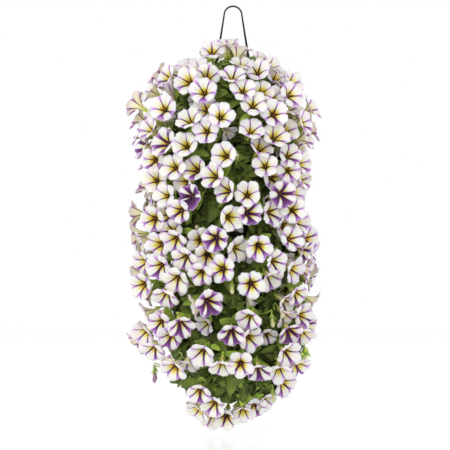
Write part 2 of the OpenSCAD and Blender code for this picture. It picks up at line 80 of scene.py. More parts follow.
# The mass of stems around the pouch, and the handle's legs as points of [drop, x]
FILM_R = 56.4
MOUND_R = 84.0
MOUND_TOP, MOUND_BOTTOM, MOUND_END = 100.0, 712.0, 90.0
PEG_DROP = 158.0
LEG_LINE = ([0, 82, 136, PEG_DROP], [16.2, 29.0, 60.5, 60.5])
LEG_GAP = 8.0  # from the handle's plane to growth beside a leg
LEG_SIDE = (9.0, 22.0)  # from a leg, where growth gives way fully and where it no longer does
LEG_FOOT = (12.0, 30.0)  # the same below the pegs
SWING = math.radians(13)  # the joint's limit and one degree to spare

# Blooms that differ from the rest, at [x, z]: mostly violet, with broad or thin stripes, and wilted
DEEP = [[-81, -333]]
BROAD = [[-128, -234], [-172, -238], [33, -362], [46, -651], [143, -573], [104, -582],
         [135, -437], [92, -329], [-92, -569], [-40, -525], [-33, -410], [-2, -584]]
THIN = [[-18, -258], [26, -328], [-20, -187], [-88, -238], [-110, -278], [-141, -302], [-126, -329]]
WILTED = [[-115, -135]]
NEAR = 9.0  # how far a bloom's face may lie from its place in these lists


def unit(v):
    return v / np.linalg.norm(v, axis=-1, keepdims=True)


def smooth(x, low, high):
    """A smooth step of x from 0 at low to 1 at high."""
    t = np.clip((x - low) / (high - low), 0, 1)
    return t * t * (3 - 2 * t)


def mixed(a, b, t):
    return a + (b - a) * t


# Reading the CAD solids

FLAT = 0.1  # points this close to an end of a solid belong to it
FACE_TRIANGLES = 6  # a trumpet's face has at least this many


def solids(name):
    """The separate solids of a node, each as the corners of its triangles, in millimetres."""
    mesh = nodes[name].data
    mesh.calc_loop_triangles()
    co = np.empty(len(mesh.vertices) * 3, np.float32)
    mesh.vertices.foreach_get("co", co)
    tri = np.empty(len(mesh.loop_triangles) * 3, np.int32)
    mesh.loop_triangles.foreach_get("vertices", tri)
    points, same = np.unique(np.round(co.reshape(-1, 3) / MM, 3), axis=0, return_inverse=True)
    tri = same.ravel()[tri].reshape(-1, 3)
    label = np.arange(len(points))
    while True:
        new = label.copy()
        np.minimum.at(new, tri.ravel(), np.repeat(label[tri].min(axis=1), 3))
        new = new[new]
        if (new == label).all():
            break
        label = new
    owner = label[tri[:, 0]]
    return [points[tri[owner == one]] for one in np.unique(owner)]


def read_bloom(corners):
    """A trumpet's face: the largest flat of the solid with everything else behind it."""
    normal = np.cross(corners[:, 1] - corners[:, 0], corners[:, 2] - corners[:, 0])
    area = np.linalg.norm(normal, axis=1)
    normal = normal / np.maximum(area, 1e-9)[:, None]
    ways, count = np.unique(np.round(normal, 3), axis=0, return_counts=True)
    best = None
    for way in ways[count >= FACE_TRIANGLES]:
        way = unit(way)
        height = corners @ way
        flat = (height > height.max() - FLAT).all(axis=1)
        if best is None or area[flat].sum() > best[0]:
            best = (area[flat].sum(), way, flat)
    _, way, flat = best
    middle = (corners[flat].mean(axis=1) * area[flat][:, None]).sum(axis=0) / area[flat].sum()
    spread = corners[flat].reshape(-1, 3) - middle
    far = np.linalg.norm(spread, axis=1)
    lobe = spread[far.argmax()]
    lobe = unit(lobe - way * (lobe @ way))
    return Item(face=middle, n=way, lobe=lobe, cad_r=far.max())


def read_bud(corners):
    """A bud's tip and direction: its long axis, away from the end that is flat."""
    points = np.unique(corners.reshape(-1, 3), axis=0)
    way = np.linalg.eigh(np.cov((points - points.mean(axis=0)).T))[1][:, 2]
    height = points @ way
    top, low = height > height.max() - FLAT, height < height.min() + FLAT
    if top.sum() > low.sum():
        way, top = -way, low
    return Item(face=points[top].mean(axis=0), n=way)


blooms = []
for plant in PLANTS:
    for corners in solids("blooms_" + plant):
        blooms.append(read_bloom(corners))
        blooms[-1].plant = plant
buds = [read_bud(corners) for corners in solids("buds")]
plugs = {p: np.mean([np.array(c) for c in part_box("root_plug_" + p)], axis=0) / MM for p in PLANTS}

FACE = np.array([b.face for b in blooms])


def one_of(b, places):
    """True if a bloom stands at one of the places."""
    return any(math.hypot(b.face[0] - x, b.face[2] - z) < NEAR for x, z in places)


def leg_room(p):
    """Distance from the handle's plane that clears the swinging legs, and 1 where p is beside a leg."""
    drop = -p[..., 2]
    aside = np.abs(np.abs(p[..., 0]) - np.interp(drop, *LEG_LINE))
    room = LEG_GAP + np.maximum(0, PEG_DROP - drop) * math.tan(SWING)
    below = smooth(drop, PEG_DROP + LEG_FOOT[0], PEG_DROP + LEG_FOOT[1])
    return room, (1 - smooth(aside, *LEG_SIDE)) * (1 - below)


def clear_of_legs(p):
    """Points moved away from the handle's plane, to the side that they are on, where a leg is near."""
    side = -1 if p[..., 1].mean() < 0 else 1
    room, near = leg_room(p)
    moved = p.copy()
    moved[..., 1] += side * near * np.maximum(0, room - side * p[..., 1])
    return moved


def meets_leg(p):
    """True if a point is in the path of a leg."""
    room, near = leg_room(p)
    return ((near > 0.99) & (np.abs(p[..., 1]) < room)).any()


def mound_r(drop):
    """Radius of the mass of stems at a drop."""
    up = np.clip((MOUND_TOP + MOUND_END - drop) / MOUND_END, 0, 1)
    down = np.clip((drop - MOUND_BOTTOM + MOUND_END) / MOUND_END, 0, 1)
    return MOUND_R * np.sqrt(np.maximum(0.01, 1 - up ** 2 - down ** 2))


# Meshes made of many small closed grids

TILE_EDGE = 0.04  # free edge of a tile of the bake map, as a share of the tile


class Patchwork:
    """Gathers closed grids of points into one mesh. Each grid has its own tile of the bake map."""

    def __init__(self):
        self.grids = []

    def add(self, points, **marks):
        """points: rows of rings, (rows, columns, 3). marks: values for the material, one per point."""
        middle = points.reshape(-1, 3).mean(axis=0)
        a, b = points - middle, np.roll(points, -1, axis=1) - middle
        volume = (np.cross(a[:-1], b[:-1]) * (b[1:] + a[1:])).sum()
        turn = slice(None, None, -1) if volume < 0 else slice(None)
        wide = {k: np.broadcast_to(v, points.shape[:2] + (3,))[:, turn] for k, v in marks.items()}
        self.grids.append((points[:, turn], wide))

    def build(self, name, material, slot, *replaced):
        """Makes the mesh and puts it in the scene."""
        count = math.ceil(math.sqrt(len(self.grids)))
        verts, loops, starts, uvs = [], [], [], []
        base = loop_base = 0
        for i, (points, _) in enumerate(self.grids):
            rows, cols = points.shape[:2]
            r, c = np.meshgrid(np.arange(rows - 1), np.arange(cols), indexing="ij")
            ring, step = np.stack([r, r, r + 1, r + 1], -1), np.stack([c, c + 1, c + 1, c], -1)
            quads = (ring * cols + step % cols).reshape(-1, 4)
            caps = np.concatenate([np.arange(cols)[::-1], (rows - 1) * cols + np.arange(cols)])
            loops.append(base + np.concatenate([quads.ravel(), caps]))
            starts.append(loop_base + np.concatenate([
                np.arange(0, quads.size, 4), [quads.size, quads.size + cols]]))
            tile = np.array([i % count, i // count])
            cap_c = np.concatenate([np.arange(cols)[::-1], np.arange(cols)]) / cols
            cap_r = np.repeat([0.0, 1.0], cols)
            uv = np.stack([np.concatenate([(step / cols).ravel(), cap_c]),
                           np.concatenate([(ring / (rows - 1)).ravel(), cap_r])], -1)
            uvs.append((tile + TILE_EDGE + (1 - 2 * TILE_EDGE) * uv) / count)
            verts.append(points.reshape(-1, 3))
            base += rows * cols
            loop_base += quads.size + 2 * cols
        mesh = bpy.data.meshes.new(name)
        mesh.vertices.add(base)
        mesh.vertices.foreach_set("co", (np.concatenate(verts) * MM).astype(np.float32).ravel())
        mesh.loops.add(loop_base)
        mesh.loops.foreach_set("vertex_index", np.concatenate(loops).astype(np.int32))
        starts = np.concatenate(starts)
        mesh.polygons.add(len(starts))
        mesh.polygons.foreach_set("loop_start", starts.astype(np.int32))
        mesh.update(calc_edges=True)
        mesh.validate()
        mesh.uv_layers.new(name="OFBake").data.foreach_set(
            "uv", np.concatenate(uvs).astype(np.float32).ravel())
        for mark in self.grids[0][1]:
            values = np.concatenate([m[mark].reshape(-1, 3) for _, m in self.grids])
            mesh.attributes.new(mark, "FLOAT_VECTOR", "POINT").data.foreach_set(
                "vector", values.astype(np.float32).ravel())
        mesh.shade_smooth()
        return add_piece(name, mesh, material, slot, *replaced)


def add_piece(name, mesh, material, slot, *replaced):
    """Puts a finished mesh in the scene, on the pouch, in place of the CAD nodes it stands for."""
    piece = bpy.data.objects.new(name, mesh)
    bpy.context.scene.collection.objects.link(piece)
    mesh.materials.clear()
    mesh.materials.append(material)
    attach(piece, "pouch")
    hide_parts(*replaced)
    return piece


# Materials

class Shader:
    """A material with one Principled shader, and short ways to add the nodes that feed it."""

    def __init__(self, name, roughness, specular=0.4, sheen=0.0):
        self.material = bpy.data.materials.new(name)
        self.material.use_nodes = True
        self.tree = self.material.node_tree
        self.main = self.tree.nodes["Principled BSDF"]
        self.plug(self.main, Roughness=roughness, Specular_IOR_Level=specular, Sheen_Weight=sheen)

    def node(self, kind, *inputs, **settings):
        """A node with its settings and, in order, its inputs: sockets to link or plain values."""
        n = self.tree.nodes.new(kind)
        for key, value in settings.items():
            setattr(n, key, value)
        for place, value in enumerate(inputs):
            self.feed(n.inputs[place], value)
        return n

    def feed(self, socket, value):
        """Links a socket or sets a plain value. None leaves the socket as it is."""
        if isinstance(value, bpy.types.NodeSocket):
            self.tree.links.new(value, socket)
        elif value is not None:
            socket.default_value = value

    def plug(self, n, **values):
        """Feeds the inputs of a node by name, with _ for a space."""
        for key, value in values.items():
            self.feed(n.inputs[key.replace("_", " ")], value)
        return n

    def math(self, operation, *values):
        return self.node("ShaderNodeMath", *values, operation=operation).outputs[0]

    def times(self, a, b):
        return self.math("MULTIPLY", a, b)

    def plus(self, a, b):
        return self.math("ADD", a, b)

    def minus(self, a, b):
        return self.math("SUBTRACT", a, b)

    def fit(self, value, slope, start):
        """A straight line over value: start where it is 0, and slope for each 1 of it."""
        return self.math("MULTIPLY_ADD", value, slope, start)

    def parts(self, mark):
        """The three values of a mark on the mesh."""
        vector = self.node("ShaderNodeAttribute", attribute_name=mark).outputs["Vector"]
        return self.node("ShaderNodeSeparateXYZ", vector).outputs

    def join(self, x, y, z):
        return self.node("ShaderNodeCombineXYZ", x, y, z).outputs[0]

    def step(self, value, low, high):
        """A smooth step of value from 0 at low to 1 at high."""
        n = self.node("ShaderNodeMapRange", value, low, high, interpolation_type="SMOOTHSTEP")
        return n.outputs[0]

    def noise(self, vector, scale, detail=3.0, roughness=0.5):
        n = self.node("ShaderNodeTexNoise")
        return self.plug(n, Vector=vector, Scale=scale, Detail=detail, Roughness=roughness).outputs[0]

    def mix(self, factor, a, b):
        """Colour a where factor is 0, and b where it is 1."""
        n = self.node("ShaderNodeMix", data_type="RGBA", blend_type="MIX")
        for place, value in ((0, factor), (6, a), (7, b)):
            plain = isinstance(value, tuple) and len(value) == 3
            self.feed(n.inputs[place], (*value, 1.0) if plain else value)
        return n.outputs[2]

    def ramp(self, factor, *stops):
        """Colours between stops, each a place and a colour."""
        n = self.node("ShaderNodeValToRGB", factor)
        ends = n.color_ramp.elements
        while len(ends) < len(stops):
            ends.new(1.0)
        for end, (place, color) in zip(ends, stops):
            end.position, end.color = place, (*color, 1.0)
        return n.outputs[0]

    def position(self):
        return self.node("ShaderNodeTexCoord").outputs["Object"]

    def finish(self, color, height, strength, depth, roughness=None):
        """Links the colour, a fine relief and perhaps a roughness. depth is in metres."""
        bump = self.plug(self.node("ShaderNodeBump"), Strength=strength, Distance=depth, Height=height)
        self.plug(self.main, Base_Color=color, Roughness=roughness, Normal=bump.outputs[0])
        return self.material


WHITE, CREAM, LILAC = (0.895, 0.85, 0.79), (0.85, 0.82, 0.56), (0.69, 0.51, 0.79)


def petal_material():
    """White lobes, a golden throat, and dark lines from it that end in violet wedges at the notches."""
    s = Shader("petal", roughness=0.5, specular=0.25, sheen=0.1)
    s.plug(s.main, Subsurface_Weight=0.7, Subsurface_Scale=0.003, Subsurface_Radius=(1.0, 0.85, 0.7))
    seam, out, back = s.parts("petal")
    width, dark, blush = s.parts("style")
    seed, wilt, gold = s.parts("flower")
    streak = s.noise(s.join(s.times(seam, 7.0), s.times(out, 1.3), seed), 1.0)
    cloud = s.noise(s.join(s.times(seam, 1.5), out, s.plus(seed, 50.0)), 1.6)
    fine = s.noise(s.join(s.times(seam, 26.0), out, seed), 1.0, detail=2.0)
    wavy = s.plus(seam, s.fit(streak, 0.16, -0.08))

    line = s.ramp(out, (0.0, (0.7,) * 3), (0.2, (0.5,) * 3), (0.45, (0.23,) * 3), (0.72, (0.09,) * 3),
                  (1.0, (0.05,) * 3))
    fan = s.times(width, s.step(out, s.fit(dark, -0.45, 0.45), 1.0))
    edge = s.plus(s.times(line, s.fit(dark, 0.9, 0.75)), fan)
    soft = s.fit(out, 0.13, 0.02)
    stripe = s.step(wavy, s.plus(edge, soft), s.minus(edge, soft))

    warm = s.noise(s.join(seam, s.times(out, 1.2), s.plus(seed, 20.0)), 0.9, detail=1.0)
    warm = s.times(s.step(warm, 0.3, 0.62), s.step(out, 1.05, 0.45))
    lobe = s.mix(s.times(warm, 0.75), WHITE, CREAM)
    lobe = s.mix(s.times(s.step(cloud, 0.42, 0.75), blush), lobe, LILAC)
    lobe = s.mix(s.times(s.step(fine, 0.5, 0.75), 0.14), lobe, LILAC)
    halo = s.times(s.step(wavy, s.plus(edge, 0.42), edge), s.step(out, 0.5, 1.0))
    lobe = s.mix(s.times(halo, 0.65), lobe, LILAC)
    glow = s.math("DIVIDE", s.plus(out, s.fit(streak, 0.3, -0.15)), gold)
    throat = s.ramp(glow, (0.0, (0.018, 0.008, 0.003)), (0.18, (0.08, 0.042, 0.003)),
                    (0.34, (0.40, 0.25, 0.010)), (0.52, (0.74, 0.54, 0.06)), (0.68, (0.84, 0.72, 0.25)),
                    (0.84, (0.85, 0.81, 0.52)), (1.0, WHITE))
    face = s.mix(s.step(glow, 0.7, 1.05), throat, lobe)
    pale = s.plus(out, s.fit(dark, -0.14, 0.14))
    violet = s.ramp(pale, (0.0, (0.008, 0.003, 0.002)), (0.45, (0.020, 0.004, 0.004)),
                    (0.62, (0.065, 0.010, 0.060)), (0.80, (0.22, 0.05, 0.35)), (1.0, (0.54, 0.27, 0.70)))
    violet = s.mix(s.times(dark, 0.55), violet, (0.085, 0.011, 0.125))
    face = s.mix(stripe, face, violet)
    face = s.mix(s.times(s.step(out, 0.93, 0.99), 0.4), face, WHITE)

    along = s.fit(out, 0.5, 0.5)
    outside = s.ramp(along, (0.1, (0.50, 0.55, 0.09)), (0.5, (0.91, 0.80, 0.26)), (0.72, (0.95, 0.87, 0.54)),
                     (1.0, (0.92, 0.80, 0.86)))
    outside = s.mix(s.times(s.step(streak, 0.5, 0.75), 0.2), outside, (0.66, 0.46, 0.58))
    tint = s.times(s.times(s.step(cloud, 0.4, 0.75), blush), s.step(out, 0.1, 0.9))
    outside = s.mix(tint, outside, (0.56, 0.36, 0.70))
    vein = s.fit(s.math("MAXIMUM", out, 0.0), -0.12, 0.20)
    vein = s.plus(fan, vein)
    vein = s.step(wavy, s.plus(vein, 0.07), s.minus(vein, 0.05))
    dusky = s.ramp(out, (0.0, (0.075, 0.030, 0.025)), (0.5, (0.12, 0.024, 0.08)), (1.0, (0.42, 0.16, 0.58)))
    outside = s.mix(s.times(vein, 0.92), outside, dusky)
    color = s.mix(back, face, outside)
    color = s.mix(s.times(wilt, 0.45), color, (0.34, 0.20, 0.36))
    return s.finish(color, s.plus(fine, streak), strength=0.25, depth=0.0006)


def green_material():
    """Downy leaves with a pale midrib and side veins, and stems."""
    s = Shader("leaf", roughness=0.6, specular=0.22, sheen=0.06)
    along, across, tone = s.parts("leaf")
    mottle = s.noise(s.position(), 60.0)
    down = s.noise(s.position(), 900.0, detail=2.0)
    shade = s.plus(tone, s.fit(mottle, 0.3, -0.15))
    # The low end runs to near black: leaves of a dark tone, and the painted shade of leaves deep among the
    # stems
    color = s.ramp(shade, (0.0, (0.012, 0.010, 0.002)), (0.35, (0.165, 0.240, 0.032)),
                   (0.7, (0.34, 0.50, 0.062)), (1.0, (0.62, 0.75, 0.11)))
    wide = s.math("ABSOLUTE", across)
    rib = s.minus(1.0, s.step(wide, 0.02, 0.13))
    slant = s.minus(s.times(along, 8.0), s.times(wide, 2.4))
    comb = s.math("PINGPONG", slant, 0.5)
    vein = s.times(s.minus(1.0, s.step(comb, 0.02, 0.12)), 0.6)
    lines = s.math("MAXIMUM", rib, vein)
    color = s.mix(s.times(lines, 0.3), color, (0.26, 0.36, 0.11))
    height = s.minus(s.times(down, 0.35), lines)
    return s.finish(color, height, strength=0.45, depth=0.0005)


def bud_material():
    """Pleated yellow-green buds with dusky veins and a paler tip."""
    s = Shader("bud", roughness=0.55, specular=0.3, sheen=0.15)
    along, ridge, wilt = s.parts("bud")
    grain = s.noise(s.position(), 400.0)
    color = s.ramp(along, (0.0, (0.16, 0.25, 0.05)), (0.3, (0.38, 0.42, 0.10)), (0.7, (0.55, 0.56, 0.20)),
                   (1.0, (0.70, 0.66, 0.42)))
    groove = s.minus(1.0, s.step(ridge, 0.05, 0.4))
    color = s.mix(s.times(groove, 0.6), color, (0.17, 0.08, 0.11))
    color = s.mix(wilt, color, (0.36, 0.20, 0.33))
    return s.finish(color, s.plus(grain, ridge), strength=0.4, depth=0.0006)


def film_material():
    """Dull dark green film with faint stretch marks."""
    s = Shader("pouch_film", roughness=0.42, specular=0.45)
    place = s.position()
    cloud = s.noise(place, 25.0)
    x, y, z = s.node("ShaderNodeSeparateXYZ", place).outputs
    marks = s.noise(s.join(s.times(x, 8.0), s.times(y, 8.0), z), 60.0)
    color = s.mix(s.step(cloud, 0.3, 0.7), (0.020, 0.052, 0.022), (0.038, 0.082, 0.036))
    color = s.mix(s.times(s.step(marks, 0.6, 0.75), 0.3), color, (0.085, 0.14, 0.08))
    rough = s.fit(cloud, 0.25, 0.3)
    return s.finish(color, s.plus(marks, cloud), strength=0.3, depth=0.0006, roughness=rough)


def soil_material(name, damp, dry, roots):
    """Crumbly potting compost, bound by pale roots where roots is above 0."""
    s = Shader(name, roughness=0.95, specular=0.15)
    place = s.position()
    crumbs = s.noise(place, 180.0, detail=6.0, roughness=0.7)
    fibre = s.node("ShaderNodeTexVoronoi", feature="DISTANCE_TO_EDGE")
    s.plug(fibre, Vector=place, Scale=160.0)
    color = s.mix(s.step(crumbs, 0.35, 0.7), damp, dry)
    line = s.minus(1.0, s.step(fibre.outputs[0], 0.02, 0.09))
    color = s.mix(s.times(line, roots), color, (0.48, 0.40, 0.28))
    return s.finish(color, crumbs, strength=0.9, depth=0.002)


def plastic_material(name, color, scuffed):
    """Satin moulded plastic with a fine grain and scuffs."""
    s = Shader(name, roughness=0.45, specular=0.25)
    place = s.position()
    grain = s.noise(place, 1600.0, detail=2.0)
    scuff = s.noise(place, 90.0, detail=5.0, roughness=0.65)
    tone = s.mix(s.times(s.step(scuff, 0.55, 0.8), 0.5), color, scuffed)
    rough = s.fit(scuff, 0.25, 0.36)
    return s.finish(tone, grain, strength=0.12, depth=0.0002, roughness=rough)


petal, green, bud_look, film = petal_material(), green_material(), bud_material(), film_material()
compost_look = soil_material("compost", (0.018, 0.011, 0.007), (0.075, 0.048, 0.028), 0.0)
root_look = soil_material("root_plug", (0.03, 0.019, 0.011), (0.10, 0.066, 0.04), 0.7)
handle_look = plastic_material("handle_plastic", (0.006, 0.006, 0.007), (0.018, 0.018, 0.019))
eyelet_look = plastic_material("eyelet_plastic", (0.022, 0.023, 0.022), (0.05, 0.05, 0.05))


# Blooms

LOBES, COLS, IN_RINGS = 5, 50, 15
OUT_RINGS = [14, 13, 11, 9, 7, 5, 3, 1, 0]  # rings of the inside that the outside follows, from the rim back
TUBE = [(3.0, 28.0), (2.8, 30.0), (2.7, 33.0), (1.3, BLOOM_L)]  # rings of the tube: radius, depth
STYLE = [(0.0, 0.4), (0.14, 0.4), (0.2, 0.8), (0.26, 0.9), (0.3, 0.3)]  # share of the depth, radius
STYLE_TONE = 0.42  # place on the throat's colours
STYLE_RING = np.array([[math.cos(k), math.sin(k)] for k in np.arange(8) * math.pi / 4])
ANGLE = np.arange(COLS) * 2 * math.pi / COLS
IN_LOBE = ANGLE * LOBES / (2 * math.pi)
LOBE = np.round(IN_LOBE).astype(int) % LOBES
SEAM = np.abs(IN_LOBE % 1 - 0.5) * 2  # 0 on the seam between two lobes, 1 in the middle of a lobe
SEAM_OF = IN_LOBE.astype(int) % LOBES  # the seam nearest to each column
SEAM_ANGLE = (np.arange(LOBES) + 0.5) * 2 * math.pi / LOBES
OUT = np.linspace(0, 1, IN_RINGS)[:, None]  # 0 in the throat, 1 at the rim
RING_EASE = 1.25  # above 1, rings lie closer in the throat
NOD = 0.13  # how far blooms turn from their solids' axes
FULL_TURN = 6.3  # a little over a whole turn, for random angles
FRILLS = (7, 11, 16, 21)  # waves around a rim
WILT_LIFT, WILT_CLOSE = 16.0, 0.62  # how a wilted bloom's rim rises and closes

# How blooms give way to each other
MEET = 2.1 * FULL_R  # faces farther apart than this don't meet
GAP_OVER, GAP_UNDER = 1.6, 2.0  # to the bloom behind and to the bloom ahead
DEEPEST = 20.0  # a petal farther past a neighbour's surface isn't moved
PUSH_MOST, GIVE_MOST = 10.0, 11.0  # for one neighbour and for all of them


def set_face(b, n):
    """Turns a bloom to face along n."""
    b.n = unit(n)
    b.lobe = unit(b.lobe - b.n * (b.lobe @ b.n))
    b.side = np.cross(b.n, b.lobe)


def set_style(b):
    """The size, form and stripes of one bloom."""
    set_face(b, b.n + np.clip(rng.normal(0, NOD, 3), -2 * NOD, 2 * NOD))
    crowd = np.clip((b.cad_r - CAD_SMALL_R) / (CAD_FULL_R - CAD_SMALL_R), 0, 1)
    b.r = mixed(SMALL_R, FULL_R, crowd) * rng.uniform(0.97, 1.05)
    b.depth = rng.uniform(23, 27)
    b.notch = rng.uniform(0.12, 0.27)
    b.curl = rng.uniform(0.0, 0.2)
    b.pillow = rng.uniform(0.07, 0.13)
    b.lobe_size = rng.uniform(-0.08, 0.05, LOBES)
    b.lobe_tilt = rng.uniform(-0.12, 0.10, LOBES)
    b.lean, b.lean_way = rng.uniform(0, 0.13), rng.uniform(0, FULL_TURN)
    b.waves = [(k, rng.uniform(0.010, 0.030), rng.uniform(0, FULL_TURN)) for k in FRILLS]
    b.stripe = rng.uniform(0.05, 0.34) + 0.2 * smooth(abs(b.face[0]), 85, 130)
    b.dark = rng.uniform(0.0, 0.35)
    b.blush = rng.uniform(0.0, 0.6)
    b.gold = rng.uniform(0.46, 0.68)
    b.seed = rng.uniform(0, 40)
    b.wilt = 0.0
    if one_of(b, BROAD):
        b.stripe, b.dark = rng.uniform(0.45, 0.65), rng.uniform(0.6, 1.0)
    elif one_of(b, DEEP):
        b.stripe, b.dark = 1.1, 1.0
    elif one_of(b, THIN):
        b.stripe, b.dark, b.blush = rng.uniform(0.04, 0.10), 0.0, 0.1
    elif one_of(b, WILTED):
        b.wilt, b.curl = 1.0, -0.1
    seam_z = np.cos(SEAM_ANGLE) * b.lobe[2] + np.sin(SEAM_ANGLE) * b.side[2]
    broad = smooth(-seam_z, 0.1, 0.9) * rng.uniform(0.3, 1.0, LOBES)
    b.stripes = b.stripe * (0.5 + 1.1 * broad)
    b.darks = np.clip(b.dark + 0.55 * broad, 0, 1)


def funnel(b, radius):
    """Depth of a bloom's inside at a radius, and its slope there."""
    left = np.clip((b.r - radius) / (b.r - THROAT_R), 0, 1)
    slope = b.depth * FUNNEL_POWER / (b.r - THROAT_R) * left ** (FUNNEL_POWER - 1)
    return b.depth * left ** FUNNEL_POWER, slope


def bloom_face(b):
    """Inside of a bloom in its own axes: radius and height of each point, and the funnel's slope."""
    lobed = smooth(SEAM, 0, 1)
    frill = sum(size * np.sin(k * ANGLE - turn) for k, size, turn in b.waves)
    edge = b.r * (1 - b.notch * (1 - SEAM) ** 2.2) * (1 + b.lobe_size[LOBE] * lobed + 0.8 * frill)
    radius = THROAT_R + (edge - THROAT_R) * OUT ** RING_EASE
    deep, slope = funnel(b, radius)
    folds = -b.pillow * OUT ** 1.2 * (1 - SEAM) ** 2 - 0.02 * OUT * np.exp(-((1 - SEAM) / 0.2) ** 2)
    lobes = OUT ** 3 * (b.lobe_tilt[LOBE] * lobed - b.curl)
    ruffle = OUT ** 4 * sum(size * np.sin(k * ANGLE + turn) for k, size, turn in b.waves)
    lean = b.lean * OUT ** 2 * np.cos(ANGLE - b.lean_way)
    height = b.r * (folds + lobes + ruffle + lean) - deep
    if b.wilt:
        height = height + WILT_LIFT * OUT ** 1.5
        radius = radius * (1 - WILT_CLOSE * OUT)
    return radius, height, slope


def stand(b, radius, height):
    """Points of a bloom in the CAD frame."""
    flat = np.cos(ANGLE)[:, None] * b.lobe + np.sin(ANGLE)[:, None] * b.side
    return b.face + radius[..., None] * flat + height[..., None] * b.n


def bend_round(i, points):
    """How far the inside of bloom i gives way to its neighbours and to the handle's legs."""
    b, moved = blooms[i], np.zeros_like(points)
    for j in np.flatnonzero(np.linalg.norm(FACE - b.face, axis=1) < MEET):
        o = blooms[j]
        if j == i:
            continue
        ahead = (b.face - o.face) @ (b.n + o.n) > 0
        d = points - o.face
        high = d @ o.n
        wide = np.linalg.norm(d - high[..., None] * o.n, axis=-1)
        surface = -funnel(o, wide)[0]
        over = surface + GAP_OVER - high if ahead else high - surface + GAP_UNDER
        push = np.where((over > 0) & (over < DEEPEST), np.minimum(over, PUSH_MOST), 0)
        push = push * (1 - smooth(wide, 0.92 * o.r, 1.12 * o.r))
        moved += (push if ahead else -push)[..., None] * o.n
    size = np.linalg.norm(moved, axis=-1, keepdims=True)
    moved *= np.minimum(1, GIVE_MOST / np.maximum(size, 1e-6)) * (OUT ** 1.5)[..., None]
    return clear_of_legs(points + moved) - points


def add_bloom(b, work, give=0.0):
    """A bloom of closed skin, inside, rim, outside and tube, with a style in its throat."""
    radius, height, slope = bloom_face(b)
    inside = stand(b, radius, height)
    lean = np.sqrt(1 + slope ** 2)
    outside = stand(b, radius + PETAL_T * slope / lean, height - PETAL_T / lean)
    ones = np.ones(COLS)
    tube = [stand(b, r * ones, -d * ones) for r, d in TUBE]
    rows = np.concatenate([inside + give, (outside + give)[OUT_RINGS], np.array(tube)])
    tube_out = [[-(d - b.depth) / (BLOOM_L - b.depth)] for _, d in TUBE]
    out = np.concatenate([OUT, OUT[OUT_RINGS], tube_out])
    back = np.concatenate([np.zeros(IN_RINGS), np.ones(len(OUT_RINGS) + len(TUBE))])[:, None]
    shape = (len(out), COLS)
    marks = np.stack([np.broadcast_to(m, shape) for m in (SEAM, out, back)], -1)
    style = np.stack([b.stripes[SEAM_OF], b.darks[SEAM_OF], np.full(COLS, b.blush)], -1)
    work.add(rows, petal=marks, style=style, flower=[b.seed, b.wilt, b.gold])
    share, knob = np.array(STYLE).T
    height = -b.depth * (1 - share)
    ring = knob[:, None, None] * STYLE_RING @ np.array([b.lobe, b.side])
    pistil = b.face + height[:, None, None] * b.n + ring
    work.add(pistil, petal=[1.0, STYLE_TONE, 0.0], style=[0.0, 0.0, 0.0], flower=[b.seed, b.wilt, 1.0])


for b in blooms:
    set_style(b)
FACING = np.array([b.n for b in blooms])


# Stems, calyxes and leaves

STEM_COLS = 6
ASKEW = [0.31, 0.87, 0.38]  # a direction that no flower faces along


def curve(points, count):
    """A smooth curve through points."""
    p = np.array(points, float)
    p = np.concatenate([[2 * p[0] - p[1]], p, [2 * p[-1] - p[-2]]])
    t = np.linspace(0, len(points) - 1, count)
    i = np.minimum(t.astype(int), len(points) - 2)
    f = (t - i)[:, None]
    a, b, c, d = p[i], p[i + 1], p[i + 2], p[i + 3]
    square, cube = 2 * a - 5 * b + 4 * c - d, 3 * b - a - 3 * c + d
    return 0.5 * (2 * b + (c - a) * f + square * f ** 2 + cube * f ** 3)


def add_stem(work, line, start_r, end_r, tone):
    """A round stem along a line of points."""
    way = unit(np.gradient(line, axis=0))
    guide = np.eye(3)[np.abs(way).mean(axis=0).argmin()]
    x = unit(np.cross(way, guide))
    y = np.cross(way, x)
    a = np.arange(STEM_COLS) * 2 * math.pi / STEM_COLS
    r = np.linspace(start_r, end_r, len(line))[:, None, None]
    ring = np.cos(a)[:, None] * x[:, None] + np.sin(a)[:, None] * y[:, None]
    work.add(line[:, None] + r * ring, leaf=[0.5, 0.6, tone])


LEAF_ROWS = np.linspace(0.0, 1.0, 9)
LEAF_LOOP = np.array([-1, -0.5, 0, 0.5, 1, 0.5, 0, -0.5])  # across the top, and back below
LEAF_BELOW = np.array([0.5, 1, 1, 1, 0.5, 0, 0, 0])
BLADE_PEAK = 0.46  # largest value of the blade's outline, which width is divided by


def leaf_points(root, along, facing, length, width, arch, fold, wave):
    """A leaf blade: folded along its midrib, arched towards its tip, with a wavy edge."""
    t = LEAF_ROWS[:, None]
    half = width / 2 * (t + 0.015) ** 0.6 * (1.006 - t) ** 0.75 / BLADE_PEAK
    side = np.cross(facing, along)
    edge = np.abs(LEAF_LOOP)
    lift = fold * edge ** 1.4 * half + wave * np.sin(9 * t + 3 * LEAF_LOOP) * edge * half * 0.18
    height = lift - arch * length * t ** 2 - LEAF_T * (1 - LEAF_BELOW) + LEAF_T / 2
    reach = length * (t - 0.25 * arch ** 2 * t ** 3) + 0 * LEAF_LOOP
    return root + reach[..., None] * along + (half * LEAF_LOOP)[..., None] * side + height[..., None] * facing


def add_leaf(work, points, tone):
    """A leaf whose material knows the place along it, the place across it and its tone."""
    t = np.broadcast_to(LEAF_ROWS[:, None], points.shape[:2])
    across = np.broadcast_to(LEAF_LOOP, points.shape[:2])
    work.add(points, leaf=np.stack([t, across, np.full(points.shape[:2], tone)], -1))


